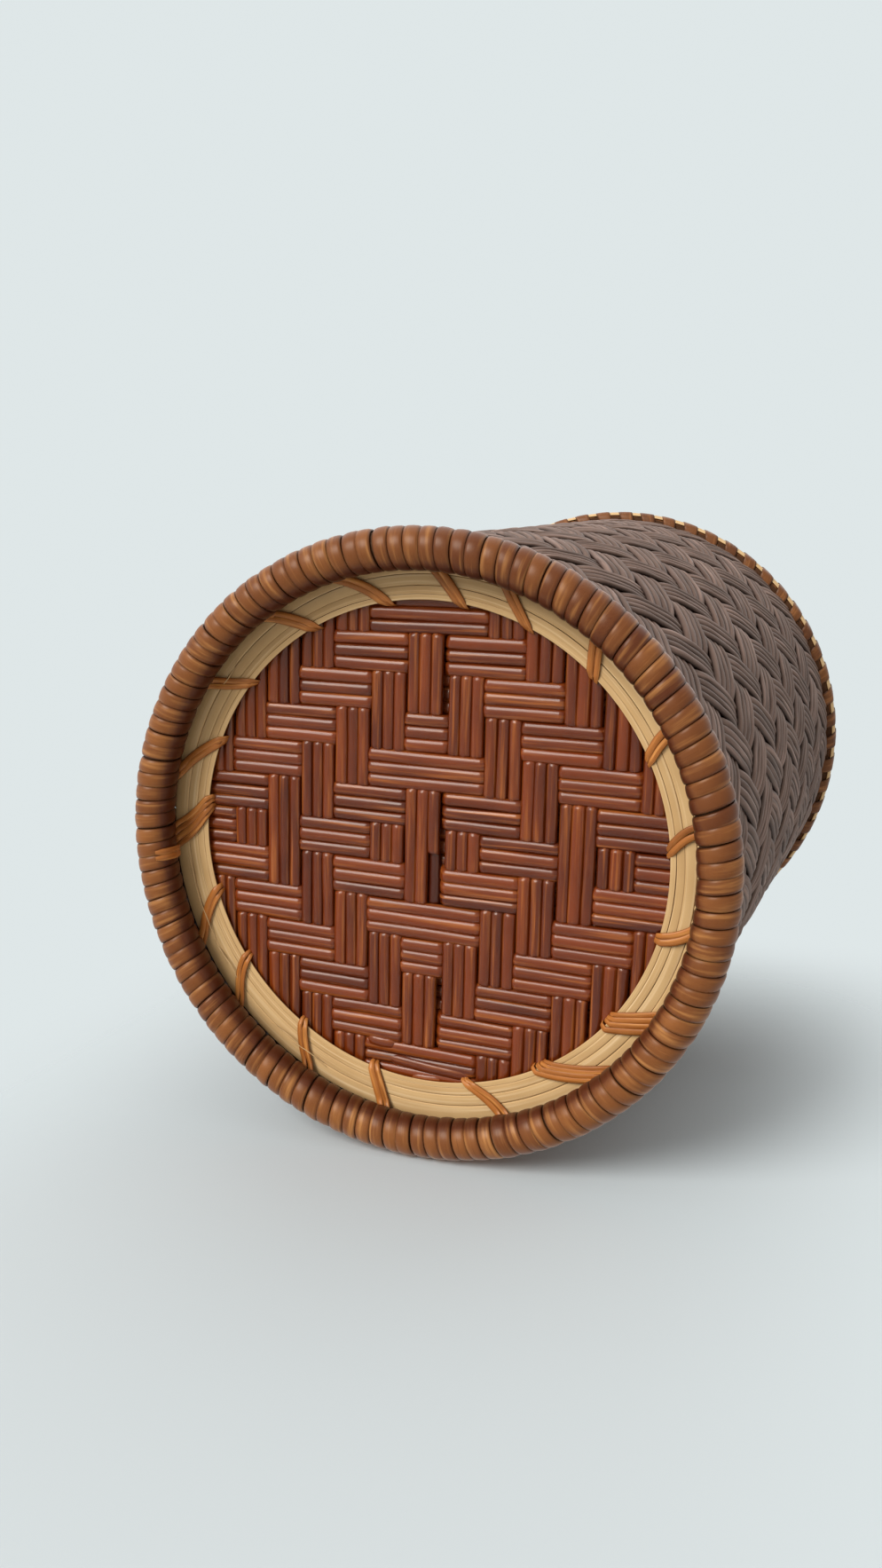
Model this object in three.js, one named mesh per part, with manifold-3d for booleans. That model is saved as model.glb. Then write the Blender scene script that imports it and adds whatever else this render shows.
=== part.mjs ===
/*
 * Wicker waste basket, standing upright on its wrapped foot ring.
 *
 * Millimetres, +Z up, origin in the middle of the foot ring where it meets the floor.
 * From the floor up: a foot ring wound with peel, a hoop of flat splints lashed inside it,
 * a base panel of reed groups woven over two and under two, a tall oblique-twill side,
 * and a rim of two hoops wound with peel over a pale listing strip.
 */
import * as THREE from 'three';
import { mergeVertices } from 'three/addons/utils/BufferGeometryUtils.js';
import Module from 'manifold-3d';

// Clearance kept between pieces that touch on the real basket
const SEAT_GAP = 0.35;

// Foot ring: a round hoop under a spiral of flat peel, with a narrow flat where it stands
const FOOT_OUTER_RADIUS = 110;
const FOOT_CORNER_RADIUS = 7.85; // from the middle of the ring to the corners of its winding
const FOOT_FLAT_CUT = 0.5;
const FOOT_PEEL_THICKNESS = 1.3;
const FOOT_PEELS = 5;
const FOOT_TURNS_PER_PEEL = 24;
const FOOT_STEPS_PER_TURN = 7;
const FOOT_FLAT_RADIUS = FOOT_CORNER_RADIUS * Math.cos(Math.PI / FOOT_STEPS_PER_TURN);
const PEEL_GAP = 0.55; // between neighbouring turns
const PEEL_CROWN_SHARE = 0.6; // width of a turn's flat crown over its width at the core
const FOOT_WIDEST_RADIUS = FOOT_CORNER_RADIUS * Math.cos(Math.PI / (2 * FOOT_STEPS_PER_TURN));
const FOOT_RING_RADIUS = FOOT_OUTER_RADIUS - FOOT_WIDEST_RADIUS;
const FOOT_RING_Z = FOOT_FLAT_RADIUS - FOOT_FLAT_CUT;
const RING_SEGMENTS = 32;

// Hoop of flat splints that holds the edge of the base panel
const SPLINT_NAMES = ['inner', 'middle', 'outer'];
const SPLINT_WIDTH = 3.5;
const SPLINT_THICKNESS = 1.4;
const HOOP_INNER_RADIUS = 85.8;
const HOOP_BOTTOM_Z = 16;
const HOOP_TOP_Z = HOOP_BOTTOM_Z + SPLINT_THICKNESS;

// Lashings: the outer end of each in degrees round the basket, and the slant to its inner end
const LASHINGS = [
  [20, 4.5], [40, 4.8], [59, 5.4], [79, 7.6], [95, 12.6], [121, 7.5],
  [148, 4.5], [167, 6.6], [188, 7.3], [204, 9.6], [226, 8.7], [242, 10.6],
  [263, 6.9], [283, 8.6], [300, 10.9], [321, 7.8], [336, 9.3], [357, 6],
];
const LASHING_WIDTH = 4.2;
const LASHING_THICKNESS = 0.9;
const LASHING_LEVEL = { radius: 95.2, share: 0.15 }; // where it comes level, and its share of the slant
const LASHING_BEND = { radius: 85.1, share: 0.9 }; // where it turns up
const LASHING_END_RADIUS = 84.55;

// Base panel: groups of three reeds both ways
const REED_GROUPS = 13;
const GROUP_PITCH = 13.45;
const REEDS_PER_GROUP = 3;
const REEDS_PER_EDGE_GROUP = 5;
const GROUP_GAP = 1.4;
const REED_WIDTH = (GROUP_PITCH - GROUP_GAP) / REEDS_PER_GROUP;
const REED_THICKNESS = 3.6;
const REED_GROOVE = 0.9;
const CROSSING_GAP = 0.4;
const PANEL_RADIUS = 98;
const PANEL_SEGMENTS = 24;
const PANEL_CUT_HEIGHT = 40; // of the disc that rounds off the edge groups
const PANEL_CUT_ALLOWANCE = 1;
const PANEL_TURN = 50.5; // degrees from X to the first reeds
const PANEL_RISE = (REED_THICKNESS + CROSSING_GAP) / 2;
const PANEL_Z = HOOP_TOP_Z + SEAT_GAP + REED_THICKNESS / 2 + PANEL_RISE;

// Side: an oblique twill, whose floats each cover two crossings
const SIDE_GROUPS = 36;
const SIDE_BOTTOM_ROW = -2;
const SIDE_TOP_ROW = 18;
const SIDE_FIRST_ROW_Z = 36.8; // height of row 0
const SIDE_BOTTOM_Z = FOOT_RING_Z + FOOT_CORNER_RADIUS + SEAT_GAP;
const SIDE_FOOT_RADIUS = 105.5;
const SIDE_RIM_RADIUS = 116.5;
const SIDE_THICKNESS = 6.4;
const SIDE_RELIEF = 2.2; // from the crown of a float down to its ends
const SIDE_SHOULDER_SHARE = 0.15; // how far a shoulder lies in from the float's edge to its middle
const SIDE_PHASE = 47.5; // degrees to the first corner of the twill

// Rim: two hoops and a listing strip inside a spiral of flat peel
const RIM_OUTER_RADIUS = 120.3;
const RIM_INNER_RADIUS = 106.9;
const RIM_TOP_Z = 309.7;
const RIM_BOTTOM_Z = 299.1;
const RIM_PEEL_THICKNESS = 1.1;
const RIM_PEELS = 3;
const RIM_TURNS_PER_PEEL = 20;
const RIM_STEPS_PER_TURN = 4;
const RIM_FACET_ROOM = 0.25; // extra room for the facets of the inner hoop
const RIM_LISTING_GAP = 4.2; // bare listing between neighbouring turns
const LISTING_THICKNESS = 0.6;
const LISTING_HEIGHT = 4;
const LISTING_Z = 303.2;
const SIDE_TOP_Z = RIM_BOTTOM_Z - SEAT_GAP;

// Finishes
const PEEL = { color: 0x96643c, roughness: 0.45 };
const RIM_PEEL = { color: 0x8c552d, roughness: 0.45 };
const REED = { color: 0x78422e, roughness: 0.35 };
const STRAW = { color: 0xbea069, roughness: 0.65 };
const STRAND = { color: 0x645550, roughness: 0.8 };

// Distance within which corners count as one when a solid is cut
const WELD_DISTANCE = 1e-4;

const wasm = await Module();
wasm.setup();

const basket = new THREE.Group();
const radians = THREE.MathUtils.degToRad;

/** Adds one named piece of the basket in its own finish. */
function addPiece(name, geometry, finish) {
  const material = new THREE.MeshStandardMaterial({ ...finish, metalness: 0 });
  const mesh = new THREE.Mesh(geometry, material);
  mesh.name = name;
  basket.add(mesh);
}

/** A point given by its distance from the basket's axis, its angle and its height. */
function polar(radius, angle, z) {
  return new THREE.Vector3(radius * Math.cos(angle), radius * Math.sin(angle), z);
}

/** A geometry from corner points and triangles, turned so that its faces point out. */
function closedBody(points, triangles) {
  let volume = 0;
  for (const [a, b, c] of triangles) {
    volume += points[a].dot(new THREE.Vector3().crossVectors(points[b], points[c]));
  }
  const facing = volume > 0 ? triangles : triangles.map(([a, b, c]) => [a, c, b]);
  const geometry = new THREE.BufferGeometry();
  geometry.setAttribute('position', new THREE.Float32BufferAttribute(points.flatMap((p) => p.toArray()), 3));
  geometry.setIndex(facing.flat());
  geometry.computeVertexNormals();
  return geometry;
}

/** A solid through a row of equal cross-sections, closed at both ends. */
function loft(sections) {
  const sides = sections[0].length;
  const triangles = [];
  for (let s = 0; s + 1 < sections.length; s += 1) {
    for (let k = 0; k < sides; k += 1) {
      const a = s * sides + k;
      const b = s * sides + ((k + 1) % sides);
      triangles.push([a, b, b + sides], [a, b + sides, a + sides]);
    }
  }
  const last = (sections.length - 1) * sides;
  for (let k = 1; k + 1 < sides; k += 1) {
    triangles.push([0, k + 1, k], [last, last + k, last + k + 1]);
  }
  return closedBody(sections.flat(), triangles);
}

/** A ring round the basket's axis from the corners [radius, z] of its cross-section, anticlockwise. */
function ring(corners, segments) {
  const profile = [...corners, corners[0]].map(([radius, z]) => new THREE.Vector2(radius, z));
  const geometry = new THREE.LatheGeometry(profile, segments);
  geometry.rotateX(Math.PI / 2);
  return geometry;
}

/** A ring of rectangular cross-section. */
function bandRing(inner, outer, bottom, top, segments) {
  return ring([[inner, bottom], [outer, bottom], [outer, top], [inner, top]], segments);
}

/** The same solid for the boolean library. */
function toSolid(geometry) {
  const bare = geometry.clone();
  for (const name of ['normal', 'uv']) {
    bare.deleteAttribute(name);
  }
  const merged = mergeVertices(bare, WELD_DISTANCE);
  return new wasm.Manifold(new wasm.Mesh({
    numProp: 3,
    vertProperties: new Float32Array(merged.attributes.position.array),
    triVerts: new Uint32Array(merged.index.array),
  }));
}

/** A solid of the boolean library as a geometry. */
function fromSolid(solid) {
  const mesh = solid.getMesh();
  const geometry = new THREE.BufferGeometry();
  geometry.setAttribute('position', new THREE.BufferAttribute(new Float32Array(mesh.vertProperties), 3));
  geometry.setIndex(new THREE.BufferAttribute(new Uint32Array(mesh.triVerts), 1));
  geometry.computeVertexNormals();
  return geometry;
}

/** Corners [radius, z] of the foot ring's cross-section, from the top outwards, flat below. */
function footCorners(cornerRadius) {
  return Array.from({ length: FOOT_STEPS_PER_TURN }, (_, k) => {
    const around = Math.PI / 2 - (k * 2 * Math.PI) / FOOT_STEPS_PER_TURN;
    const z = FOOT_RING_Z + cornerRadius * Math.sin(around);
    return [FOOT_RING_RADIUS + cornerRadius * Math.cos(around), Math.max(z, 0)];
  });
}

/**
 * One peel wound round a ring: an unbroken strip with flat edges and a raised crown.
 * The inner and outer corners are the stations of one turn, in the order of winding.
 */
function windPeel({ innerCorners, outerCorners, startAngle, turnAngle, steps, gap, crownShare }) {
  const stations = innerCorners.length;
  const sections = [];
  for (let step = 0; step <= steps; step += 1) {
    const station = step % stations;
    const angle = startAngle + (step / stations) * turnAngle;
    const [innerRadius, innerZ] = innerCorners[station];
    const [outerRadius, outerZ] = outerCorners[station];
    const pitch = turnAngle * Math.min(innerRadius, outerRadius);
    const half = (pitch - gap) / 2;
    const at = (radius, z, aside) => polar(radius, angle + aside / radius, z);
    const crown = crownShare > 0 ? [half * crownShare, -half * crownShare] : [0];
    sections.push([
      at(innerRadius, innerZ, -half),
      at(innerRadius, innerZ, half),
      ...crown.map((aside) => at(outerRadius, outerZ, aside)),
    ]);
  }
  return sections;
}

/** The least distance between the neighbouring turns of one wound peel. */
function leastGap(sections, stations) {
  let least = Infinity;
  for (let s = 0; s + stations < sections.length; s += 1) {
    for (const point of sections[s]) {
      for (const other of sections[s + stations]) {
        least = Math.min(least, point.distanceTo(other));
      }
    }
  }
  return least;
}

/** Foot ring: the round hoop and the peels wound round it, flat where they stand. */
function buildFoot() {
  const coreRadius = FOOT_CORNER_RADIUS - FOOT_PEEL_THICKNESS - 2 * SEAT_GAP;
  addPiece('foot_ring_core', ring(footCorners(coreRadius).reverse(), RING_SEGMENTS), STRAW);

  // Each peel starts and ends on top of the ring, under the side
  const turnAngle = (2 * Math.PI) / (FOOT_PEELS * FOOT_TURNS_PER_PEEL);
  for (let peel = 0; peel < FOOT_PEELS; peel += 1) {
    const sections = windPeel({
      innerCorners: footCorners(FOOT_CORNER_RADIUS - FOOT_PEEL_THICKNESS),
      outerCorners: footCorners(FOOT_CORNER_RADIUS),
      startAngle: peel * FOOT_TURNS_PER_PEEL * turnAngle,
      turnAngle,
      steps: FOOT_TURNS_PER_PEEL * FOOT_STEPS_PER_TURN - 1,
      gap: PEEL_GAP,
      crownShare: PEEL_CROWN_SHARE,
    });
    if (peel === 0) {
      const gap = leastGap(sections, FOOT_STEPS_PER_TURN);
      console.log('foot peel, least gap to itself:', gap.toFixed(2), 'mm');
    }
    addPiece(`foot_wrap_${peel + 1}`, loft(sections), PEEL);
  }
}

/** Flat splints side by side, under the edge of the base panel. */
function buildHoop() {
  SPLINT_NAMES.forEach((name, index) => {
    const inner = HOOP_INNER_RADIUS + index * (SPLINT_WIDTH + SEAT_GAP);
    const splint = bandRing(inner, inner + SPLINT_WIDTH, HOOP_BOTTOM_Z, HOOP_TOP_Z, RING_SEGMENTS);
    addPiece(`hoop_splint_${name}`, splint, STRAW);
  });
}

/** One thong from the foot ring, slanting under the hoop and up at its inner edge. */
function lashing(angle, slant) {
  const under = HOOP_BOTTOM_Z - SEAT_GAP - LASHING_THICKNESS / 2;
  const seat = FOOT_CORNER_RADIUS + SEAT_GAP + LASHING_THICKNESS;
  const route = [
    [FOOT_RING_RADIUS - seat * Math.SQRT1_2, FOOT_RING_Z + seat * Math.SQRT1_2, 0],
    [LASHING_LEVEL.radius, under, LASHING_LEVEL.share],
    [LASHING_BEND.radius, under, LASHING_BEND.share],
    [LASHING_END_RADIUS, HOOP_TOP_Z - 2 * SEAT_GAP, 1],
  ];
  const points = route.map(([radius, z, share]) => polar(radius, radians(angle + share * slant), z));

  // Its cross-sections lie along the hoop, so that it turns up without a twist
  const run = Math.hypot(points.at(-1).x - points[0].x, points.at(-1).y - points[0].y);
  const width = (LASHING_WIDTH * run) / (route[0][0] - route.at(-1)[0]);
  const sections = points.map((point, index) => {
    const before = points[Math.max(index - 1, 0)];
    const after = points[Math.min(index + 1, points.length - 1)];
    const across = new THREE.Vector3(point.y, -point.x, 0).normalize();
    const facing = after.clone().sub(before).cross(across).normalize();
    const corner = (side, face) => point.clone()
      .addScaledVector(across, (side * width) / 2)
      .addScaledVector(facing, (face * LASHING_THICKNESS) / 2);
    return [corner(-1, -1), corner(1, -1), corner(1, 1), corner(-1, 1)];
  });
  return loft(sections);
}

function buildLashings() {
  LASHINGS.forEach(([angle, slant], index) => {
    addPiece(`lashing_${String(index + 1).padStart(2, '0')}`, lashing(angle, slant), PEEL);
  });
}

/** True where the first reeds pass below the second ones, on the face seen from below. */
function firstReedsShow(row, column) {
  return (Math.abs(row) + Math.abs(column)) % 4 >= 2;
}

/** Cross-section of a group of reeds: ribbed below, one ridge above, as [aside, height]. */
function reedProfile(reeds) {
  const half = (reeds * REED_WIDTH) / 2;
  const rib = REED_THICKNESS / 2;
  const ribs = [];
  for (let reed = 0; reed < reeds; reed += 1) {
    ribs.push([-half + (reed + 0.5) * REED_WIDTH, -rib]);
    if (reed + 1 < reeds) {
      ribs.push([-half + (reed + 1) * REED_WIDTH, REED_GROOVE - rib]);
    }
  }
  return [[-half, 0], ...ribs, [half, 0], [0, rib]];
}

/** One group of reeds that dips and rises between the groups that it crosses. */
function reedBand(index, isFirst, disc) {
  const last = (REED_GROUPS - 1) / 2;
  const isEdge = Math.abs(index) === last;
  const reeds = isEdge ? REEDS_PER_EDGE_GROUP : REEDS_PER_GROUP;
  const spread = isEdge ? (Math.sign(index) * (reeds - REEDS_PER_GROUP) * REED_WIDTH) / 2 : 0;
  const aside = index * GROUP_PITCH + spread;
  const far = Math.abs(aside) + (reeds * REED_WIDTH) / 2;
  const reach = isEdge ? PANEL_RADIUS + PANEL_CUT_ALLOWANCE : Math.sqrt(PANEL_RADIUS ** 2 - far ** 2);
  const level = (crossing) => {
    const firstBelow = isFirst ? firstReedsShow(index, crossing) : firstReedsShow(crossing, index);
    return firstBelow === isFirst ? -PANEL_RISE : PANEL_RISE;
  };
  const path = [[-reach, level(-last)]];
  for (let crossing = -last; crossing < last; crossing += 1) {
    if (level(crossing) !== level(crossing + 1)) {
      const turn = (crossing + 0.5) * GROUP_PITCH;
      path.push([turn - PANEL_RISE, level(crossing)], [turn + PANEL_RISE, level(crossing + 1)]);
    }
  }
  path.push([reach, level(last)]);
  const profile = reedProfile(reeds);
  const contour = profile.map(([across, height]) => new THREE.Vector2(across, height));
  const caps = THREE.ShapeUtils.triangulateShape(contour, []);
  const sections = path.map(([along, rise]) => profile.map(([across, height]) => (
    new THREE.Vector3(along, aside + across, rise + height)
  )));
  const points = sections.flat();
  const sides = profile.length;
  const triangles = [];
  for (let s = 0; s + 1 < sections.length; s += 1) {
    for (let k = 0; k < sides; k += 1) {
      const a = s * sides + k;
      const b = s * sides + ((k + 1) % sides);
      triangles.push([a, b, b + sides], [a, b + sides, a + sides]);
    }
  }
  const end = (sections.length - 1) * sides;
  for (const [a, b, c] of caps) {
    triangles.push([a, c, b], [end + a, end + b, end + c]);
  }
  const whole = closedBody(points, triangles);
  const band = isEdge ? fromSolid(toSolid(whole).intersect(disc)) : whole;
  band.rotateZ(radians(PANEL_TURN) + (isFirst ? 0 : Math.PI / 2));
  band.translate(0, 0, PANEL_Z);
  return band;
}

/** Base panel: groups of reeds woven over two and under two, reversed at the middle, with round edges. */
function buildBase() {
  const cylinder = new THREE.CylinderGeometry(PANEL_RADIUS, PANEL_RADIUS, PANEL_CUT_HEIGHT, PANEL_SEGMENTS);
  const disc = toSolid(cylinder.rotateX(Math.PI / 2));
  const last = (REED_GROUPS - 1) / 2;
  for (const [name, isFirst] of [['base_weft', true], ['base_warp', false]]) {
    for (let index = -last; index <= last; index += 1) {
      // Seen along the crossing reeds, the second set runs the other way round
      const place = isFirst ? index : -index;
      const number = String(index + last + 1).padStart(2, '0');
      addPiece(`${name}_${number}`, reedBand(place, isFirst, disc), REED);
    }
  }
}

/** Outer radius of the side at a height, over the crowns of its floats. */
function sideRadius(z) {
  const share = (z - FOOT_RING_Z) / (RIM_TOP_Z - FOOT_RING_Z);
  return THREE.MathUtils.lerp(SIDE_FOOT_RADIUS, SIDE_RIM_RADIUS, share);
}

/**
 * Side: crossings lie on a lattice of half groups round and rows up. Sites whose sum is odd
 * are the middles of crossings; the others are the corners between them, and lie deep.
 * Each float covers two crossings and is an arch: its ends dive to the corners, and its two
 * long sides stand up from them to a shoulder half-way along.
 */
function sideWall() {
  const columns = 2 * SIDE_GROUPS;
  const bottomRow = SIDE_BOTTOM_ROW;
  const rowStep = (SIDE_TOP_Z - SIDE_FIRST_ROW_Z) / SIDE_TOP_ROW;
  const isMiddle = (column, row) => Math.abs(column + row) % 2 === 1;
  const points = [];
  const rowZ = (row) => Math.max(SIDE_FIRST_ROW_Z + row * rowStep, SIDE_BOTTOM_Z);
  const angleOf = (column) => radians(SIDE_PHASE) + (column * Math.PI) / SIDE_GROUPS;
  const addPoint = (column, row, depth) => {
    points.push(polar(sideRadius(rowZ(row)) - depth, angleOf(column), rowZ(row)));
    return points.length - 1;
  };

  // Corners everywhere, and the middles where the top and the bottom cut through floats
  const sites = new Map();
  for (let row = bottomRow; row <= SIDE_TOP_ROW; row += 1) {
    const isCut = row === bottomRow || row === SIDE_TOP_ROW;
    for (let column = 0; column < columns; column += 1) {
      if (isCut || !isMiddle(column, row)) {
        const depth = isMiddle(column, row) ? SIDE_RELIEF / 2 : SIDE_RELIEF;
        sites.set(`${column},${row}`, addPoint(column, row, depth));
      }
    }
  }
  const site = (column, row) => sites.get(`${(column + columns) % columns},${row}`);
  const shoulder = (column, row, middle) => addPoint(
    THREE.MathUtils.lerp(column, middle[0], SIDE_SHOULDER_SHARE),
    THREE.MathUtils.lerp(row, middle[1], SIDE_SHOULDER_SHARE),
    0,
  );
  const triangles = [];

  // One row of floats leans one way, the next the other
  for (let row = bottomRow - 1; row < SIDE_TOP_ROW; row += 2) {
    const lean = ((row % 4) + 4) % 4 === 1 ? 1 : -1;
    for (let column = 0; column < columns; column += 1) {
      if (isMiddle(column, row)) {
        const [v1, v2, v3, v4, v5, v6] = [
          [column, row - 1], [column + lean, row], [column + 2 * lean, row + 1],
          [column + lean, row + 2], [column, row + 1], [column - lean, row],
        ].map(([c, r]) => site(c, r));
        const cut = site(column + lean, row + 1);
        const facets = [];
        if (row < bottomRow) {
          facets.push([cut, v3, v4], [cut, v4, v5]);
        } else {
          const middle = [column + lean / 2, row + 0.5];
          const a = shoulder(column + lean, row, middle);
          const b = shoulder(column, row + 1, middle);
          facets.push([v6, v1, a], [v6, a, b], [v1, v2, a], [v2, v3, a], [v5, v6, b]);
          if (row + 1 < SIDE_TOP_ROW) {
            facets.push([b, a, v3], [b, v3, v4], [v4, v5, b]);
          } else {
            facets.push([b, a, cut], [a, v3, cut], [b, cut, v5]);
          }
        }
        triangles.push(...facets.map(([p, q, r]) => (lean > 0 ? [p, q, r] : [p, r, q])));
      }
    }
  }

  // Plain inside with half as many columns, and flat edges at the top and the bottom
  const innerBottom = points.length;
  const innerTop = innerBottom + SIDE_GROUPS;
  for (const z of [SIDE_BOTTOM_Z, SIDE_TOP_Z]) {
    for (let column = 0; column < columns; column += 2) {
      points.push(polar(sideRadius(z) - SIDE_THICKNESS, angleOf(column), z));
    }
  }
  for (let group = 0; group < SIDE_GROUPS; group += 1) {
    const next = (group + 1) % SIDE_GROUPS;
    const column = 2 * group;
    const edges = [
      { row: bottomRow, here: innerBottom + group, there: innerBottom + next, flip: false },
      { row: SIDE_TOP_ROW, here: innerTop + group, there: innerTop + next, flip: true },
    ];
    for (const { row, here, there, flip } of edges) {
      const [a, b, c] = [column, column + 1, column + 2].map((at) => site(at, row));
      for (const [p, q, r] of [[a, here, b], [b, here, there], [b, there, c]]) {
        triangles.push(flip ? [p, r, q] : [p, q, r]);
      }
    }
    triangles.push([innerBottom + group, innerTop + group, innerBottom + next]);
    triangles.push([innerBottom + next, innerTop + group, innerTop + next]);
  }
  return closedBody(points, triangles);
}

/** Rim: two hoops and the listing strip, and the peels wound round them. */
function buildRim() {
  const clear = RIM_PEEL_THICKNESS + SEAT_GAP;
  const bottom = RIM_BOTTOM_Z + clear;
  const top = RIM_TOP_Z - clear;
  const innerFace = RIM_INNER_RADIUS + clear + RIM_FACET_ROOM;
  const listingOuter = RIM_OUTER_RADIUS - clear;
  const listingInner = listingOuter - LISTING_THICKNESS;
  const outerFace = listingInner - SEAT_GAP;
  const middle = (innerFace + outerFace) / 2;
  const innerHoop = bandRing(innerFace, middle - SEAT_GAP / 2, bottom, top, RING_SEGMENTS);
  const outerHoop = bandRing(middle + SEAT_GAP / 2, outerFace, bottom, top, RING_SEGMENTS);
  const listingBottom = LISTING_Z - LISTING_HEIGHT / 2;
  const listingTop = LISTING_Z + LISTING_HEIGHT / 2;
  const listing = bandRing(listingInner, listingOuter, listingBottom, listingTop, RING_SEGMENTS);
  addPiece('rim_hoop_inner', innerHoop, STRAW);
  addPiece('rim_hoop_outer', outerHoop, STRAW);
  addPiece('rim_listing', listing, STRAW);

  const corners = (inset) => [
    [RIM_INNER_RADIUS + inset, RIM_BOTTOM_Z + inset],
    [RIM_INNER_RADIUS + inset, RIM_TOP_Z - inset],
    [RIM_OUTER_RADIUS - inset, RIM_TOP_Z - inset],
    [RIM_OUTER_RADIUS - inset, RIM_BOTTOM_Z + inset],
  ];
  const turnAngle = (2 * Math.PI) / (RIM_PEELS * RIM_TURNS_PER_PEEL);
  for (let peel = 0; peel < RIM_PEELS; peel += 1) {
    const sections = windPeel({
      innerCorners: corners(RIM_PEEL_THICKNESS),
      outerCorners: corners(0),
      startAngle: peel * RIM_TURNS_PER_PEEL * turnAngle,
      turnAngle,
      steps: RIM_TURNS_PER_PEEL * RIM_STEPS_PER_TURN - 1,
      gap: RIM_LISTING_GAP,
      crownShare: 0,
    });
    if (peel === 0) {
      const gap = leastGap(sections, RIM_STEPS_PER_TURN);
      console.log('rim peel, least gap to itself:', gap.toFixed(2), 'mm');
    }
    addPiece(`rim_wrap_${peel + 1}`, loft(sections), RIM_PEEL);
  }
}

buildFoot();
buildHoop();
buildLashings();
buildBase();
addPiece('woven_side', sideWall(), STRAND);
buildRim();

export default basket;
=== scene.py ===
"""Wicker waste basket: its looks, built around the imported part.

Metres, in the part's own frame: +Z up, with the basket standing at the origin on its foot ring.
The camera looks at the base from below, as in the photograph, where the basket lies on its side.
"""

import logging
import math
import random
from collections.abc import Callable
from dataclasses import dataclass
from enum import Enum
from itertools import accumulate
from typing import Any

import bpy
from mathutils import Matrix, Vector


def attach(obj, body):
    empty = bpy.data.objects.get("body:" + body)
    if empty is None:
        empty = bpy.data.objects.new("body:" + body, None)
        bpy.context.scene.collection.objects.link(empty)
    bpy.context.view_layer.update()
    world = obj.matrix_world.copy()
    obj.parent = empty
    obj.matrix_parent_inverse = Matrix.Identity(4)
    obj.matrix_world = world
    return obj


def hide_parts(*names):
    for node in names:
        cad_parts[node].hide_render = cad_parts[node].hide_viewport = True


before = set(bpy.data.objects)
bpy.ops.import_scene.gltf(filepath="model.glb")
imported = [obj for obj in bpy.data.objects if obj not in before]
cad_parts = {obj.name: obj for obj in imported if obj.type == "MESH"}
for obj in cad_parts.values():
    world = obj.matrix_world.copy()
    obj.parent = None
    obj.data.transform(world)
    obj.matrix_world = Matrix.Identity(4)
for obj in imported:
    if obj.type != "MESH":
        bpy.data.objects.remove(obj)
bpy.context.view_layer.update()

LOG = logging.getLogger("waste_basket")
TURN = 2 * math.pi
MM = 0.001
BODY = "root"
DOWN = Vector((0.0, 0.0, -1.0))
SCREEN_GAMMA = 2.2

Colour = tuple[float, float, float, float]
Material, Piece, Socket = bpy.types.Material, bpy.types.Object, bpy.types.NodeSocket


def srgb(red: int, green: int, blue: int) -> Colour:
    """The linear colour that shaders use, from a screen's parts, each from 0 to 255."""
    return (*((part / 255) ** SCREEN_GAMMA for part in (red, green, blue)), 1.0)


def shares(count: int) -> list[float]:
    """Even steps from 0 to 1, as many as the count."""
    return [step / (count - 1) for step in range(count)]


def math_node(operation: str, swapped: bool = False) -> Callable[..., "Value"]:
    """Gives a method of Value that adds one Math node.

    Args:
        operation: What the node does.
        swapped: Whether the value that has the method comes after the other one.

    Returns:
        The method.
    """
    def method(self: "Value", *others: Any) -> "Value":
        """Adds the node on this value and the others."""
        operands = (*others, self) if swapped else (self, *others)
        return self.graph.math(operation, *operands)

    return method


class Value:
    """A number socket of a node tree, on which Python's operators add Math nodes.

    A remainder is never negative, a comparison is 1 or 0, and angles are in radians.
    """

    def __init__(self, graph: "Graph", socket: Socket) -> None:
        """Wraps one socket of the graph's tree."""
        self.graph = graph
        self.socket = socket

    __add__ = __radd__ = math_node("ADD")
    __sub__ = math_node("SUBTRACT")
    __rsub__ = math_node("SUBTRACT", swapped=True)
    __mul__ = __rmul__ = math_node("MULTIPLY")
    __truediv__ = math_node("DIVIDE")
    __pow__ = math_node("POWER")
    __mod__ = math_node("FLOORED_MODULO")
    __gt__ = math_node("GREATER_THAN")
    __lt__ = math_node("LESS_THAN")
    __abs__ = math_node("ABSOLUTE")
    sin = math_node("SINE")
    cos = math_node("COSINE")
    floor = math_node("FLOOR")
    sign = math_node("SIGN")
    root = math_node("SQRT")
    at_least = math_node("MAXIMUM")
    at_most = math_node("MINIMUM")

    def rounded(self, power: float) -> "Value":
        """Raises the size to a power and keeps the sign, which squares off a circle."""
        return self.sign() * abs(self) ** power

    def ease(self, low: float, high: float, start: float = 0.0, end: float = 1.0) -> "Value":
        """Goes smoothly from start to end as this goes from low to high."""
        limits = {"Value": self, "From Min": low, "From Max": high, "To Min": start, "To Max": end}
        return self.graph.value("ShaderNodeMapRange", {"interpolation_type": "SMOOTHSTEP"}, limits)


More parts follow.
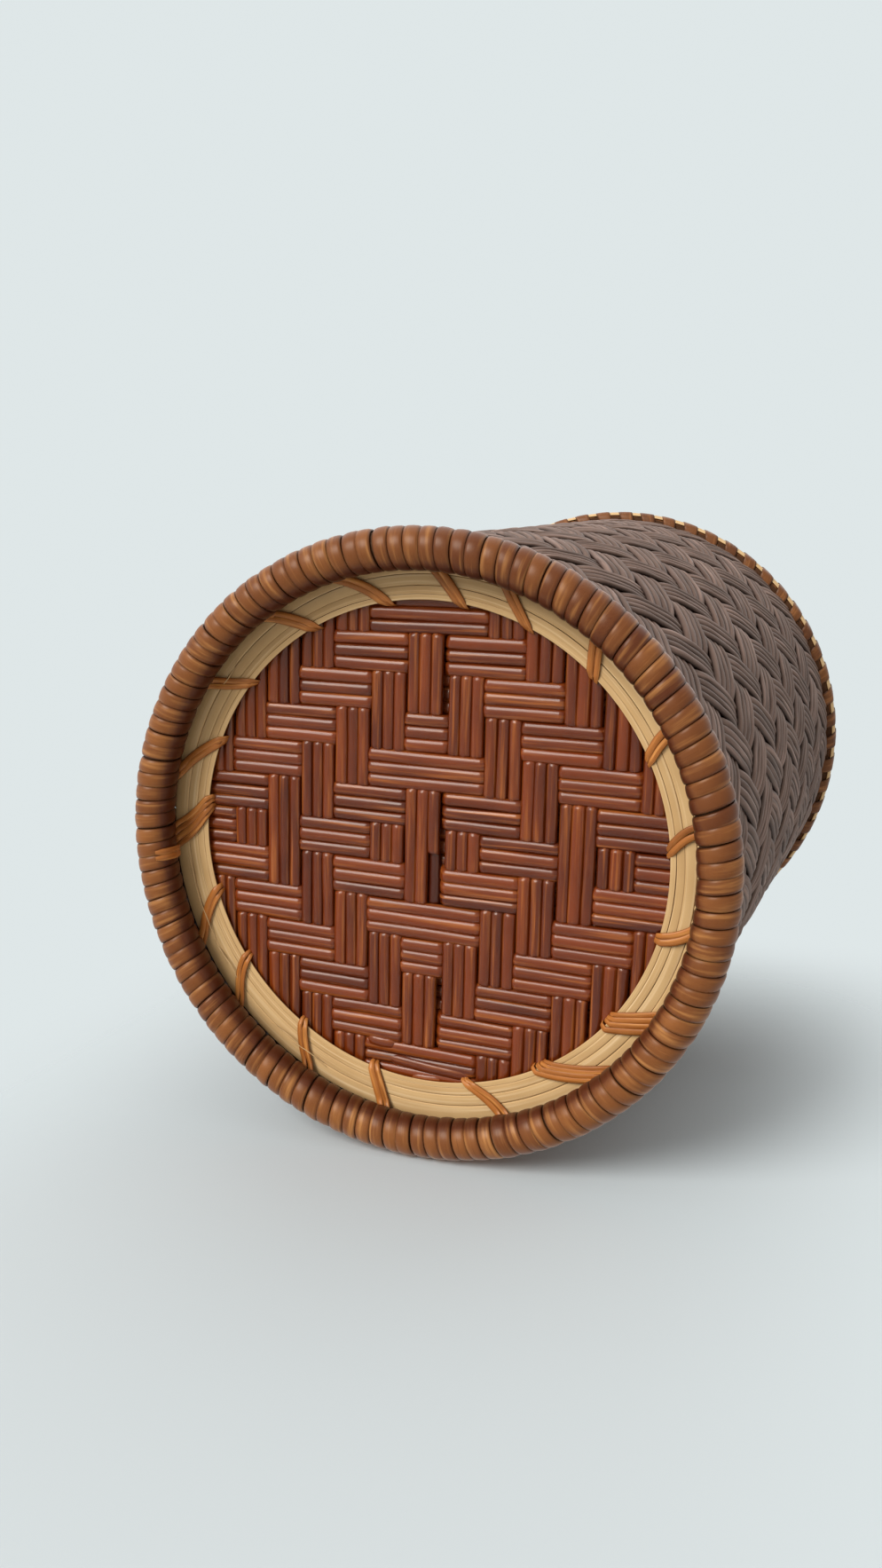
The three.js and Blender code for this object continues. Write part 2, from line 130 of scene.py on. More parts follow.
class Graph:
    """Adds nodes to one shader or geometry tree."""

    def __init__(self, tree: bpy.types.NodeTree) -> None:
        """Takes the tree that the nodes go into."""
        self.tree = tree

    def node(self, kind: str, settings: dict[str, Any] | None = None,
             inputs: dict[Any, Any] | None = None) -> bpy.types.Node:
        """Adds one node.

        Args:
            kind: The node's type.
            settings: Its properties, which are set first.
            inputs: What its sockets are given, by name or number: values, sockets or constants.

        Returns:
            The node.
        """
        node = self.tree.nodes.new(kind)
        for name, setting in (settings or {}).items():
            setattr(node, name, setting)
        for key, given in (inputs or {}).items():
            source = given.socket if isinstance(given, Value) else given
            if isinstance(source, Socket):
                self.tree.links.new(source, node.inputs[key])
            else:
                node.inputs[key].default_value = source
        return node

    def value(self, kind: str, settings: dict[str, Any] | None = None,
              inputs: dict[Any, Any] | None = None, output: int | str = 0) -> Value:
        """Adds one node and wraps one of its outputs as a number."""
        return Value(self, self.node(kind, settings, inputs).outputs[output])

    def math(self, operation: str, *operands: Any) -> Value:
        """Adds a Math node on up to three operands."""
        return self.value("ShaderNodeMath", {"operation": operation}, dict(enumerate(operands)))

    def vector(self, x: Any = 0.0, y: Any = 0.0, z: Any = 0.0) -> Socket:
        """Joins three numbers into a vector."""
        return self.node("ShaderNodeCombineXYZ", {}, {0: x, 1: y, 2: z}).outputs[0]

    def polar(self, distance: Any, around: Value, height: Any = 0.0) -> Socket:
        """A vector at a distance from the Z axis, at an angle and a height."""
        return self.vector(around.cos() * distance, around.sin() * distance, height)

    def parts(self, vector: Any) -> list[Value]:
        """The three numbers of a vector."""
        split = self.node("ShaderNodeSeparateXYZ", {}, {0: vector})
        return [Value(self, output) for output in split.outputs]

    def mix(self, share: Any, first: Any, second: Any) -> Socket:
        """Mixes a share of the second colour into the first."""
        colours = {0: share, 6: first, 7: second}
        return self.node("ShaderNodeMix", {"data_type": "RGBA"}, colours).outputs[2]

    def noise(self, place: Any, scale: float = 1.0, detail: float = 2.0) -> Value:
        """Smooth noise.

        Args:
            place: Where it is read: a vector, or a number that it runs along.
            scale: How fine it is.
            detail: How many finer layers it has.

        Returns:
            A number from 0 to 1.
        """
        size, socket = ("1D", "W") if isinstance(place, Value) else ("3D", "Vector")
        inputs = {socket: place, "Scale": scale, "Detail": detail}
        return self.value("ShaderNodeTexNoise", {"noise_dimensions": size}, inputs)

    def wander(self, place: Any, scale: float = 1.0, detail: float = 1.0) -> Value:
        """Smooth noise from -0.5 to 0.5, at a vector or along a number."""
        return self.noise(place, scale, detail) - 0.5

    def chance(self, number: Value) -> Value:
        """A random number from -0.5 to 0.5 that stays the same for the same number."""
        settings = {"noise_dimensions": "1D"}
        return self.value("ShaderNodeTexWhiteNoise", settings, {"W": number}) - 0.5


def empty_graph(owner: Material | bpy.types.World) -> Graph:
    """Clears the nodes of a material or a world.

    Args:
        owner: What has the nodes.

    Returns:
        The graph that new nodes go into.
    """
    owner.use_nodes = True
    owner.node_tree.nodes.clear()
    return Graph(owner.node_tree)


def add_object(name: str, data: bpy.types.ID) -> Piece:
    """Puts a new object into the scene.

    Args:
        name: Its name.
        data: Its mesh, lamp or camera.

    Returns:
        The object, at the origin.
    """
    added = bpy.data.objects.new(name, data)
    bpy.context.scene.collection.objects.link(added)
    return added


@dataclass(frozen=True)
class StrandFinish:
    """Finish of split or round rattan: streaks along the strand, a tint of its own, and gloss.

    It reads the attributes of the strands: strand, their number; along, metres from their start;
    across, from -1 to 1 over their width; crown, 1 on their outer face; and tone, 1 where they
    are darkened all through, which some pieces leave out: this is painted shade, and on the foot
    ring also a darker side. Near-black painted shade lies on their edges, on their inner faces and
    where tone is highest.
    """

    name: str
    light: Colour
    main: Colour
    dark: Colour
    roughness: float
    coat: float
    coat_roughness: float = 0.25
    streaks_across: float = 3.0
    fibres_across: float = 14.0
    streaks_per_metre: float = 40.0
    tint_spread: float = 0.55
    # How dark the painted shade on the strands' edges and inner faces is, and how near the edges it
    # stays.
    crease: float = 0.5
    crease_power: float = 5.0
    bump: float = 0.25
    refraction: float = 1.4
    gloss: Colour = (1.0, 0.8, 0.62, 1.0)
    patchiness: float = 0.9
    even_shade: float = 0.62
    streak_limits: tuple[float, float] = (0.48, 0.78)
    fibre_limits: tuple[float, float] = (0.62, 0.72)
    fibre_share: float = 0.35
    # Painted shade: past this much darkening the strands turn towards a near-black colour, and this
    # far at most.
    deep_tone: float = 0.7
    most_painted_shade: float = 0.9
    relief: float = 0.4 * MM

    def material(self) -> Material:
        """Builds the finish.

        Returns:
            The material.
        """
        made = bpy.data.materials.new(self.name)
        graph = empty_graph(made)
        strand, along, across, crown, tone = (
            graph.value("ShaderNodeAttribute", {"attribute_name": name}, {}, "Fac")
            for name in ("strand", "along", "across", "crown", "tone")
        )
        lengthways = along * self.streaks_per_metre
        streak_place = graph.vector(across * self.streaks_across, lengthways, strand * 7.13)
        fibre_place = graph.vector(across * self.fibres_across, lengthways * 2.5, strand * 3.7)
        streak, fibre = graph.noise(streak_place, detail=3.0), graph.noise(fibre_place)
        patch = graph.wander(graph.vector(strand * 5.3, along * 55.0), detail=2.0)
        tint = graph.chance(strand) * self.tint_spread

        # Darker where the strands are darkened all through: painted shade, and on the foot ring
        # also a darker side.
        shade = patch * self.patchiness + tint + self.even_shade - tone
        colour = graph.mix(shade.at_least(0.0).at_most(1.0), self.dark, self.main)
        lit = streak.ease(*self.streak_limits) * (1.0 - tone * 0.8)
        colour = graph.mix(lit, colour, self.light)
        colour = graph.mix(fibre.ease(*self.fibre_limits) * self.fibre_share, colour, self.dark)
        # Painted shade in a near-black colour: in the creases at the strands' edges, on their inner
        # faces, and where they are darkened deepest.
        edge_shade = abs(across) ** self.crease_power * self.crease
        under = (0.0 - crown).at_least(0.0) * self.crease
        deep = (tone - self.deep_tone).at_least(0.0) * 1.2
        red, green, blue, _ = self.dark
        painted_shade_colour = (red * 0.25, green * 0.2, blue * 0.2, 1.0)
        colour = graph.mix((edge_shade + under + deep).at_most(self.most_painted_shade), colour, painted_shade_colour)

        rough = self.roughness + (fibre - 0.5) * 0.22 + patch * 0.12
        relief = graph.node("ShaderNodeBump", {}, {
            "Strength": self.bump, "Distance": self.relief, "Height": streak * 0.7 + fibre * 0.3,
        })
        surface = graph.node("ShaderNodeBsdfPrincipled", {}, {
            "Base Color": colour, "Roughness": rough, "Normal": relief.outputs[0],
            "Coat Weight": self.coat, "Coat Roughness": self.coat_roughness,
            "IOR": self.refraction, "Specular Tint": self.gloss,
        })
        graph.node("ShaderNodeOutputMaterial", {}, {"Surface": surface.outputs[0]})
        return made


FOOT_PEEL = StrandFinish(
    "foot_peel_finish", srgb(184, 124, 70), srgb(150, 92, 48), srgb(94, 48, 26),
    roughness=0.42, coat=0.1, coat_roughness=0.3, streaks_across=1.6, fibres_across=7.0,
    tint_spread=0.45, crease=0.95, crease_power=6.0, bump=0.12, refraction=1.36,
)
LASHING_PEEL = StrandFinish(
    "lashing_finish", srgb(222, 150, 80), srgb(194, 118, 56), srgb(140, 80, 38),
    roughness=0.42, coat=0.15, streaks_across=1.6, fibres_across=6.0,
    streaks_per_metre=60.0, tint_spread=0.5, crease=0.65, bump=0.15,
)
RIM_PEEL = StrandFinish(
    "rim_peel_finish", srgb(160, 104, 60), srgb(130, 80, 44), srgb(86, 48, 28),
    roughness=0.5, coat=0.08, streaks_across=2.0, fibres_across=8.0,
    streaks_per_metre=60.0, tint_spread=0.6, crease=0.7, bump=0.15,
)
BASE_REED = StrandFinish(
    "base_reed_finish", srgb(168, 92, 40), srgb(126, 54, 16), srgb(80, 29, 8),
    roughness=0.38, coat=0.42, coat_roughness=0.11, streaks_across=2.0, fibres_across=7.0,
    streaks_per_metre=26.0, tint_spread=0.95, crease=0.3, bump=0.2,
)
SIDE_STRAND = StrandFinish(
    "side_strand_finish", srgb(158, 128, 114), srgb(124, 97, 84), srgb(74, 53, 44),
    roughness=0.6, coat=0.0, streaks_across=0.8, fibres_across=1.6,
    streaks_per_metre=32.0, tint_spread=0.6, crease=1.0, crease_power=3.6, bump=0.04,
    refraction=1.35,
)
PALE_SPLINT = StrandFinish(
    "pale_splint_finish", srgb(242, 208, 158), srgb(226, 186, 130), srgb(190, 146, 94),
    roughness=0.5, coat=0.1, fibres_across=11.0, streaks_per_metre=12.0,
    tint_spread=0.3, crease=0.6, crease_power=16.0, bump=0.1,
)
HOOP_CANE = StrandFinish(
    "hoop_cane_finish", srgb(120, 82, 50), srgb(88, 56, 34), srgb(52, 32, 22),
    roughness=0.7, coat=0.0, tint_spread=0.2, crease=0.3,
)


class StrandTree:
    """A Geometry Nodes tree that sweeps strands along paths and gives a plain mesh.

    Its sizes are named inputs of the tree, set on the modifier by their identifiers.
    """

    def __init__(self, name: str, finish: Material,
                 sizes: dict[str, float | int]) -> None:
        """Makes the tree with its inputs.

        Args:
            name: The name of the tree and of the piece that it makes.
            finish: The material of the strands.
            sizes: The named inputs; a whole number becomes a whole-number input.
        """
        self.name = name
        self.given: dict[str, Any] = {"Finish": finish, **sizes}
        self.tree = bpy.data.node_groups.new(name, "GeometryNodeTree")
        self.graph = Graph(self.tree)
        interface = self.tree.interface
        interface.new_socket("Geometry", in_out="OUTPUT", socket_type="NodeSocketGeometry")
        interface.new_socket("Paths", in_out="INPUT", socket_type="NodeSocketGeometry")
        kinds = {int: "NodeSocketInt", float: "NodeSocketFloat"}
        for label, given in self.given.items():
            kind = kinds.get(type(given), "NodeSocketMaterial")
            interface.new_socket(label, in_out="INPUT", socket_type=kind)
        self.entry = self.graph.node("NodeGroupInput")

    def size(self, label: str) -> Value:
        """One of the tree's named inputs."""
        return Value(self.graph, self.entry.outputs[label])

    def mark(self, geometry: Any, **numbers: Any) -> Socket:
        """Keeps numbers on every point.

        Args:
            geometry: What has the points.
            numbers: The numbers, each under the name that it is kept by.

        Returns:
            The geometry with its numbers.
        """
        settings = {"data_type": "FLOAT", "domain": "POINT"}
        for name, number in numbers.items():
            inputs = {"Geometry": geometry, "Name": name, "Value": number}
            store = self.graph.node("GeometryNodeStoreNamedAttribute", settings, inputs)
            geometry = store.outputs[0]
        return geometry

    def stored(self, name: str, kind: str = "FLOAT") -> Any:
        """Reads what is kept on the points.

        Args:
            name: The name that it is kept by.
            kind: FLOAT for a number, FLOAT_VECTOR for a vector.

        Returns:
            The number, or the vector's socket.
        """
        kept = "GeometryNodeInputNamedAttribute"
        found = self.graph.node(kept, {"data_type": kind}, {"Name": name}).outputs[0]
        return Value(self.graph, found) if kind == "FLOAT" else found

    def threads(self) -> Socket:
        """Straight threads, as many as the input Strands and with as many points as Samples.

        Returns:
            The curves, with their number kept as thread and the share of their length as share.
        """
        graph = self.graph
        line = graph.node("GeometryNodeCurvePrimitiveLine")
        fine = graph.node("GeometryNodeResampleCurve", {"mode": "COUNT"},
                          {"Curve": line.outputs[0], "Count": self.size("Samples")})
        copies = graph.node("GeometryNodeDuplicateElements", {"domain": "SPLINE"},
                            {"Geometry": fine.outputs[0], "Amount": self.size("Strands")})
        share = graph.node("GeometryNodeSplineParameter").outputs["Factor"]
        return self.mark(copies.outputs[0], thread=copies.outputs[1], share=share)

    def section(self, corners: int, under: float, fullness: float) -> Socket:
        """A strand's cross-section, with its thickness along X and its width along Y.

        Args:
            corners: How many corners it has.
            under: Thickness of its inner half over that of its outer half.
            fullness: 1 for an ellipse, less for a section with fuller shoulders.

        Returns:
            The closed curve, with its place kept as across and crown.
        """
        graph = self.graph
        circle = graph.node("GeometryNodeCurvePrimitiveCircle", {}, {"Resolution": corners})
        out, aside, _ = graph.parts(graph.node("GeometryNodeInputPosition").outputs[0])
        kept = self.mark(circle.outputs[0], crown=out, across=aside)
        crown, across = self.stored("crown"), self.stored("across")
        half = (crown > 0.0) * (1.0 - under) + under
        return self.move(kept, graph.vector(
            crown.rounded(fullness) * half * self.size("Half Thickness"),
            across.rounded(fullness) * self.size("Half Width"),
        ))

    def move(self, curves: Any, place: Any) -> Socket:
        """Moves the curves' points to a place."""
        inputs = {"Geometry": curves, "Position": place}
        return self.graph.node("GeometryNodeSetPosition", {}, inputs).outputs[0]

    def face(self, curves: Any, facing: Any) -> Socket:
        """Turns the outer face of what the curves carry to a direction."""
        inputs = {"Curve": curves, "Normal": facing}
        return self.graph.node("GeometryNodeSetCurveNormal", {"mode": "FREE"}, inputs).outputs[0]

    def bend(self, curves: Any, place: Any, facing: Any) -> Socket:
        """Moves the threads' points to a place and turns their outer face to a direction."""
        return self.face(self.move(curves, place), facing)

    def sweep(self, curves: Any, section: Any, scale: Any = 1.0,
              paths: bpy.types.Mesh | None = None) -> Piece:
        """Sweeps the section along the curves, dresses the strands and runs the tree.

        Args:
            curves, section: What is swept along what.
            scale: The section's size along the curves.
            paths: Edges that the strands follow, where no formula makes them.

        Returns:
            The piece, as a plain mesh.
        """
        graph = self.graph
        swept = graph.node("GeometryNodeCurveToMesh", {}, {
            "Curve": curves, "Profile Curve": section, "Scale": scale, "Fill Caps": True,
        })
        smooth = graph.node("GeometryNodeSetShadeSmooth", {}, {"Geometry": swept.outputs[0]})
        real = graph.node("GeometryNodeRealizeInstances", {}, {"Geometry": smooth.outputs[0]})
        dressed = graph.node("GeometryNodeSetMaterial", {}, {
            "Geometry": real.outputs[0], "Material": self.entry.outputs["Finish"],
        })
        graph.node("NodeGroupOutput", {}, {"Geometry": dressed.outputs[0]})
        return self.grow(paths or bpy.data.meshes.new(self.name))

    def grow(self, paths: bpy.types.Mesh) -> Piece:
        """Runs the tree once and keeps its result as a plain mesh.

        Args:
            paths: The mesh that the tree starts from.

        Returns:
            The piece, with no modifier left.
        """
        piece = add_object(self.name, paths)
        modifier = piece.modifiers.new("Weave", "NODES")
        modifier.node_group = self.tree
        for item in self.tree.interface.items_tree:
            if item.in_out == "INPUT" and item.name in self.given:
                modifier[item.identifier] = self.given[item.name]
        evaluated = bpy.context.evaluated_depsgraph_get()
        mesh = bpy.data.meshes.new_from_object(
            piece.evaluated_get(evaluated), preserve_all_data_layers=True, depsgraph=evaluated,
        )
        piece.modifiers.remove(modifier)
        piece.data = mesh
        mesh.name = self.name
        return piece


@dataclass
class Path:
    """The line that one strap follows, with the way that its outer face looks at each point."""

    points: list[Vector]
    facings: list[Vector]
    scales: list[float]


def path_mesh(name: str, paths: list[Path]) -> bpy.types.Mesh:
    """Edges along each path, with what the sweep needs kept on their points.

    Args:
        name: The mesh's name.
        paths: The lines, in the part's frame.

    Returns:
        The mesh, with the attributes strand, along, scale and facing.
    """
    points: list[Vector] = []
    edges: list[tuple[int, int]] = []
    kept: dict[str, list[float]] = {"strand": [], "along": [], "scale": []}
    for number, path in enumerate(paths):
        first = len(points)
        points += path.points
        edges += [(k, k + 1) for k in range(first, len(points) - 1)]
        lengths = ((b - a).length for a, b in zip(path.points, path.points[1:]))
        kept["strand"] += [float(number)] * len(path.points)
        kept["along"] += accumulate(lengths, initial=0.0)
        kept["scale"] += path.scales
    mesh = bpy.data.meshes.new(name)
    mesh.from_pydata(points, edges, [])
    for label, numbers in kept.items():
        mesh.attributes.new(label, "FLOAT", "POINT").data.foreach_set("value", numbers)
    facings = [part for path in paths for facing in path.facings for part in facing]
    mesh.attributes.new("facing", "FLOAT_VECTOR", "POINT").data.foreach_set("vector", facings)
    return mesh


def straps(name: str, finish: Material, paths: list[Path], width: float, thickness: float,
           corners: int = 8, under: float = 0.6, fullness: float = 0.85) -> Piece:
    """Straps swept along given paths.

    Args:
        name: The piece's name.
        finish: Its material.
        paths: What the straps follow.
        width, thickness: Their section.
        corners, under, fullness: The section's form, as StrandTree.section takes it.

    Returns:
        The piece.
    """
    tree = StrandTree(name, finish, {"Half Width": width / 2, "Half Thickness": thickness / 2})
    curves = tree.graph.node("GeometryNodeMeshToCurve", {}, {0: tree.entry.outputs["Paths"]})
    turned = tree.face(curves.outputs[0], tree.stored("facing", "FLOAT_VECTOR"))
    section, scale = tree.section(corners, under, fullness), tree.stored("scale")
    return tree.sweep(turned, section, scale, path_mesh(f"{name}_paths", paths))


def fit(piece: Piece, slot: str, *nodes: str) -> None:
    """Fixes a piece to the basket.

    Args:
        piece: The piece.
        slot: The name of its finish; not used.
        nodes: The CAD nodes in whose place it stands.
    """
    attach(piece, BODY)
    if nodes:
        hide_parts(*nodes)
    LOG.info("%s: %d faces, for %d nodes", piece.name, len(piece.data.polygons), len(nodes))


def polar(radius: float, angle: float, height: float = 0.0) -> Vector:
    """A point at a distance from the basket's axis, at an angle in radians and a height."""
    return Vector((radius * math.cos(angle), radius * math.sin(angle), height))


@dataclass
class FootRing:
    """Foot ring: a hidden round hoop inside turns of flat peel."""

    outer_radius: float = 110.0 * MM
    tube_radius: float = 7.45 * MM
    turns: int = 122
    steps: int = 26
    peel_thickness: float = 1.8 * MM
    peel_fill: float = 1.03
    drift: float = 0.7 * MM
    lift: float = 0.35 * MM
    tilt: float = 0.4
    swell: float = 0.2
    core_depth: float = 0.75
    # Where on each turn's section the painted shade on its inward side is deepest, in degrees.
    painted_shade_angle: float = 160.0
    # The side of the ring that is darker, in degrees, and how much darker it is.
    dark_angle: float = 0.0
    dark_share: float = 0.3

    def build(self) -> None:
        """Makes the winding and the core."""
        fit(self.winding(), "foot_peel", *(f"foot_wrap_{k}" for k in range(1, 6)))
        fit(self.core(), "hoop_cane", "foot_ring_core")

    def winding(self) -> Piece:
        """The turns of peel, as one spiral round the ring.

        Returns:
            The piece.
        """
        pitch = TURN * self.outer_radius / self.turns
        tree = StrandTree("foot_winding", FOOT_PEEL.material(), {
            "Strands": 1,
            "Samples": self.turns * self.steps + 1,
            "Turns": float(self.turns),
            "Tube Radius": self.tube_radius - self.peel_thickness / 2,
            "Ring Radius": self.outer_radius - self.tube_radius,
            "Ring Height": self.tube_radius,
            "Half Width": pitch * self.peel_fill / 2,
            "Half Thickness": self.peel_thickness / 2,
        })
        curves, graph = tree.threads(), tree.graph
        turn = tree.stored("share") * tree.size("Turns")
        drift, lift, swell, lean = (
            graph.wander(turn * pace + start)
            for pace, start in ((0.83, 3.1), (0.71, 40.7), (0.77, 91.3), (0.93, 17.9))
        )
        around = turn / tree.size("Turns") * TURN + drift * (2 * self.drift / self.outer_radius)
        tube = math.pi / 2 - turn * TURN
        reach = tree.size("Tube Radius") + (lift - 0.25) * self.lift
        distance = tree.size("Ring Radius") + reach * tube.cos()
        height = tree.size("Ring Height") + reach * tube.sin()
        place = graph.polar(distance, around, height.at_least(tree.size("Half Thickness")))
        lean = lean * self.tilt
        facing = graph.vector(
            tube.cos() * around.cos() - lean * around.sin(),
            tube.cos() * around.sin() + lean * around.cos(),
            tube.sin(),
        )
        # Darker on one side of the ring.
        darker_side = (around - math.radians(self.dark_angle)).cos().ease(0.4, 1.0) * self.dark_share
        # Painted shade on the inward side of each turn, which faces the hoop of splints.
        painted_nook_shade = (tube - math.radians(self.painted_shade_angle)).cos().ease(0.17, 0.71)
        along = turn * (TURN * self.tube_radius)
        curves = tree.mark(curves, strand=turn.floor(), along=along, tone=darker_side + painted_nook_shade)
        scale = distance / self.outer_radius * (1.0 + swell * self.swell)
        return tree.sweep(tree.bend(curves, place, facing), tree.section(12, 0.45, 0.84), scale)

    def core(self) -> Piece:
        """The round hoop under the peel, seen only as the dark of the creases.

        Returns:
            The piece.
        """
        radius = self.tube_radius - self.peel_thickness * self.core_depth
        centre = self.outer_radius - self.tube_radius
        tree = StrandTree("foot_core", HOOP_CANE.material(), {
            "Strands": 1, "Samples": 161, "Half Width": radius, "Half Thickness": radius,
        })
        curves = tree.threads()
        around = tree.stored("share") * TURN
        place = tree.graph.polar(centre, around, self.tube_radius)
        curves = tree.mark(curves, strand=0.0, along=around * centre)
        curves = tree.bend(curves, place, tree.graph.polar(1.0, around))
        return tree.sweep(curves, tree.section(16, 1.0, 1.0))


@dataclass
class SplintHoop:
    """Hoop of pale flat splints inside the foot ring, under the edge of the base panel.

    The splints lie side by side, each wider and thicker than the one inside it.
    """

    inner_radius: float = 85.6 * MM
    splints: int = 4
    first_width: float = 1.95 * MM
    growth: float = 1.42
    face: float = 16.05 * MM
    thickness: float = 0.65 * MM
    wander: float = 0.45 * MM
    samples: int = 241
    fibre_radius: float = 95.0 * MM
    fibre_starts: tuple[float, ...] = (163.0, 168.0, 190.0, 196.0, 201.0, 207.0, 214.0, 262.0, 30.0)
    fibre_points: int = 9
    seed: int = 5

    def build(self) -> None:
        """Makes the splints and their frayed fibres."""
        nodes = (f"hoop_splint_{name}" for name in ("inner", "middle", "outer"))
        fit(self.bands(), "pale_splint", *nodes)
        fit(self.fibres(), "pale_splint")

    def bands(self) -> Piece:
        """The splints side by side, which wander a little.

        Returns:
            The piece.
        """
        tree = StrandTree("hoop_splints", PALE_SPLINT.material(), {
            "Strands": self.splints,
            "Samples": self.samples,
            "Inner Radius": self.inner_radius,
            "First Width": self.first_width,
            "Growth": self.growth,
            "Face": self.face,
            "Half Width": self.first_width * 0.492,
            "Half Thickness": self.thickness / 2,
        })
        curves, graph = tree.threads(), tree.graph
        thread, around = tree.stored("thread"), tree.stored("share") * TURN
        circle = graph.polar(1.0, around, thread * 4.7)
        sideways, upward = graph.wander(circle, 1.6), graph.wander(circle, 2.3)
        grown = tree.size("Growth") ** thread
        inside = (grown - 1.0) / (tree.size("Growth") - 1.0)
        middle = tree.size("Inner Radius") + (inside + grown * 0.5) * tree.size("First Width")
        distance = middle + sideways * self.wander
        face = tree.size("Face") + grown * tree.size("Half Thickness")
        place = graph.polar(distance, around, face + upward * (1.5 * self.wander))
        curves = tree.mark(curves, strand=thread, along=around * self.inner_radius)
        curves = tree.bend(curves, place, graph.vector(*DOWN))
        return tree.sweep(curves, tree.section(16, 0.8, 0.28), grown)

    def fibres(self) -> Piece:
        """Thin fibres that have come away from the outermost splint.

        Returns:
            The piece.
        """
        chooser = random.Random(self.seed)
        steps = shares(self.fibre_points)
        paths = []
        for start in self.fibre_starts:
            span, bow = chooser.uniform(5.0, 13.0), chooser.uniform(0.8, 2.4) * MM
            points = []
            for share in steps:
                angle = math.radians(start + span * share)
                rise = math.sin(share * math.pi) * bow
                height = self.face - 0.3 * MM - rise * 0.6
                points.append(polar(self.fibre_radius - rise, angle, height))
            scales = [1.0 - abs(share - 0.5) * 4 / 3 for share in steps]
            paths.append(Path(points, [DOWN] * len(steps), scales))
        return straps("hoop_fibres", PALE_SPLINT.material(), paths, 0.5 * MM, 0.3 * MM, corners=5)


@dataclass(frozen=True)
class Lashing:
    """One thong: its outer end's angle and its slant, in degrees, and whether it is doubled."""

    angle: float
    slant: float
    doubled: bool = False


LASHINGS = (
    Lashing(20.0, 4.5), Lashing(40.0, 4.8), Lashing(59.0, 5.4), Lashing(79.0, 7.6, True),
    Lashing(95.0, 12.6, True), Lashing(121.0, 7.5), Lashing(148.0, 4.5), Lashing(167.0, 6.6),
    Lashing(188.0, 7.3), Lashing(204.0, 9.6), Lashing(226.0, 8.7, True), Lashing(242.0, 10.6),
    Lashing(263.0, 6.9), Lashing(283.0, 8.6), Lashing(300.0, 10.9), Lashing(321.0, 7.8),
    Lashing(336.0, 9.3), Lashing(357.0, 6.0),
)

# Where each strand of a thong passes: its radius, its height, the share of its slant, its width.
LASHING_STOPS = (
    (99.6 * MM, 13.2 * MM, -0.15, 0.9),
    (96.6 * MM, 15.1 * MM, 0.1, 1.0),
    (91.0 * MM, 15.35 * MM, 0.5, 1.05),
    (86.4 * MM, 15.5 * MM, 0.85, 0.95),
    (84.6 * MM, 17.0 * MM, 1.0, 0.7),
    (83.9 * MM, 20.5 * MM, 1.05, 0.4),
)


@dataclass
class Lashings:
    """The thongs that tie the hoop of splints to the foot ring and the base.

    Each is two narrow strands of peel side by side, and one has a tail over the foot ring.
    """

    width: float = 2.5 * MM
    thickness: float = 0.9 * MM
    spacing: float = 1.6
    seed: int = 3
    samples: int = 22
    bow: float = 1.4
    twist: float = 0.25
    fan: float = 0.25
    tail_angle: float = 224.0
    tail_start: float = 158.0
    tail_sweep: float = 84.0
    tail_points: int = 14
    ring_radius: float = 102.55 * MM
    tube_radius: float = 7.45 * MM

    def build(self) -> None:
        """Makes all the thongs as one piece."""
        chooser = random.Random(self.seed)
        paths = [self.tail(0.0), self.tail(self.spacing * 0.8)]
        for lashing in LASHINGS:
            bow, twist = (chooser.uniform(-most, most) for most in (self.bow, self.twist))
            for strand in range(4 if lashing.doubled else 2):
                aside = (strand - 0.5) * self.spacing
                paths.append(self.path(lashing, aside, bow, twist, chooser))
        piece = straps("lashings", LASHING_PEEL.material(), paths, self.width, self.thickness,
                       fullness=0.65)
        fit(piece, "lashing_peel", *(f"lashing_{k:02d}" for k in range(1, len(LASHINGS) + 1)))

    def tail(self, aside: float) -> Path:
        """A loose end that comes forward over the inner face of the foot ring.

        Args:
            aside: How far it is shifted round the basket, in degrees.

        Returns:
            The path.
        """
        angle = math.radians(self.tail_angle + aside)
        turns = (self.tail_start + self.tail_sweep * share for share in shares(self.tail_points))
        tubes = (math.radians(turn) for turn in turns)
        facings = [polar(math.cos(tube), angle, math.sin(tube)) for tube in tubes]
        middle = polar(self.ring_radius, angle, self.tube_radius)
        reach = self.tube_radius + self.thickness / 2
        tapers = [1.0 - max(0, step - 10) * 0.14 for step in range(self.tail_points)]
        return Path([middle + facing * reach for facing in facings], facings, tapers)

    def path(self, lashing: Lashing, aside: float, bow: float, twist: float,
             chooser: random.Random) -> Path:
        """The way of one strand, from behind the ring, over the splints and into the base.

        Args:
            lashing: Which thong.
            aside: How far the strand is shifted round the basket, in degrees.
            bow, twist: The bow in degrees and the twist that the thong's strands share.
            chooser: What the strand's own slant and width are drawn from.

        Returns:
            The path.
        """
        slant = lashing.slant + chooser.uniform(-self.fan, self.fan)
        size = chooser.uniform(0.85, 1.1)
        points, facings, scales = [], [], []
        for step in shares(self.samples):
            place = step * (len(LASHING_STOPS) - 1)
            low = min(int(place), len(LASHING_STOPS) - 2)
            share = place - low
            ease = share * share * (3 - 2 * share) * 0.4 + share * 0.6
            radius, height, along, scale = (
                (1 - ease) * a + ease * b
                for a, b in zip(LASHING_STOPS[low], LASHING_STOPS[low + 1])
            )
            lean = bow * math.sin(max(0.0, min(1.0, along)) * math.pi)
            dive = max(0.0, min(1.0, (place - 3.0) / 1.5))
            angle = math.radians(lashing.angle + aside * (1.0 - 0.45 * dive) + slant * along + lean)
            points.append(polar(radius, angle, height))
            outward, onward = polar(1.0, angle), polar(1.0, angle + math.pi / 2)
            facings.append((DOWN * (1 - dive) - outward * dive + onward * twist).normalized())
            scales.append(scale * size)
        return Path(points, facings, scales)


class ReedSet(Enum):
    """The two sets of reeds in the base panel, with their turn in degrees from the first set."""

    WEFT = 0.0
    WARP = 90.0


